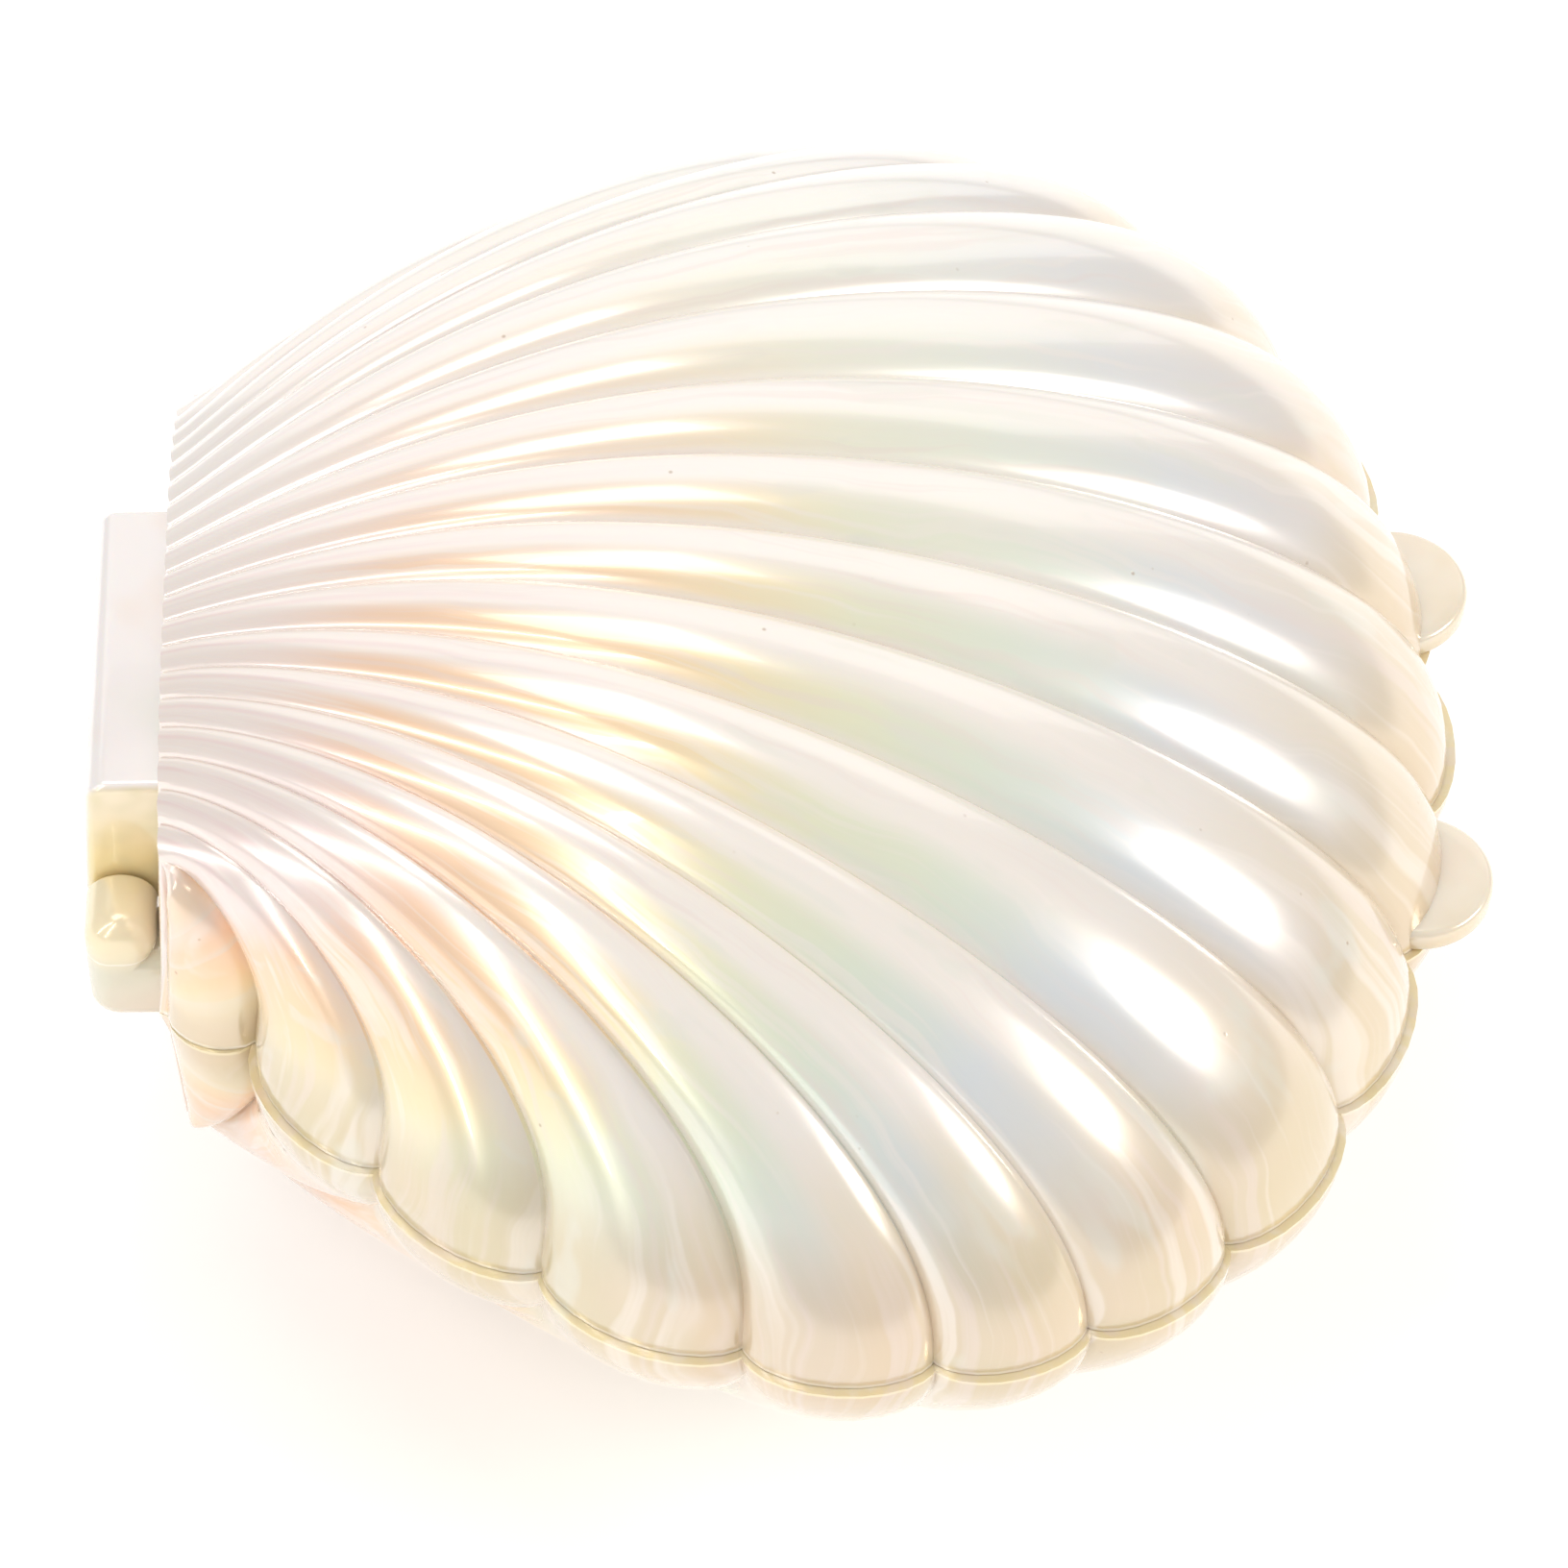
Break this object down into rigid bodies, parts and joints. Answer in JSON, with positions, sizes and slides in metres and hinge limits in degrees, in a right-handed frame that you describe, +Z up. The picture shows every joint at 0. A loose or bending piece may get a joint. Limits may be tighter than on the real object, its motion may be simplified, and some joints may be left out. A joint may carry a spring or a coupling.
{
  "type": "bubbling clam shell ornament",
  "caption": "Pearly fluted clam shell for an aquarium whose hinged lid is lifted by trapped air; air stone, ballast, deck and pearl inside.",
  "frame": {"origin": "centre of the bounding box's underside, where the feet stand", "axes": "+Z up, +Y toward the hinge, -Y toward the mouth and its thumb tabs, +X across"},
  "size_m": [0.1124, 0.1012, 0.0646],
  "materials": {
    "shell": "pearlescent gloss",
    "steel": "stainless",
    "rubber": "matt",
    "clear_blue": "satin tinted",
    "clear_tube": "soft clear tube",
    "stone": "porous",
    "deck": "satin",
    "pearl": "pearl lustre"
  },
  "bodies": {
    "lid": {"lid_valve": "shell", "air_bell": "clear_blue", "bell_screw": "steel"},
    "base": {"base_valve": "shell", "hinge_pin": "steel", "hinge_pin_plug": "shell", "ballast_weight": "steel", "stone_holder": "clear_blue", "air_stone": "stone", "air_duct": "clear_tube", "inlet_elbow": "clear_blue", "inlet_seal": "rubber", "inlet_nut": "clear_blue", "deck_plate": "deck", "pearl_cup": "deck", "pearl": "pearl", "ballast_screw_1": "steel", "ballast_screw_2": "steel", "ballast_screw_3": "steel", "holder_screw_1": "steel", "holder_screw_2": "steel", "deck_screw_1": "steel", "deck_screw_2": "steel", "deck_screw_3": "steel", "deck_screw_4": "steel", "foot_pad_1": "rubber", "foot_pad_2": "rubber", "foot_pad_3": "rubber", "foot_pad_4": "rubber"}
  },
  "joints": [
    {"name": "lid_hinge", "type": "hinge", "parent": "base", "child": "lid", "pos_m": [0, 0.048, 0.0345], "axis": [-1, 0, 0], "range_deg": [0, 40]}
  ]
}
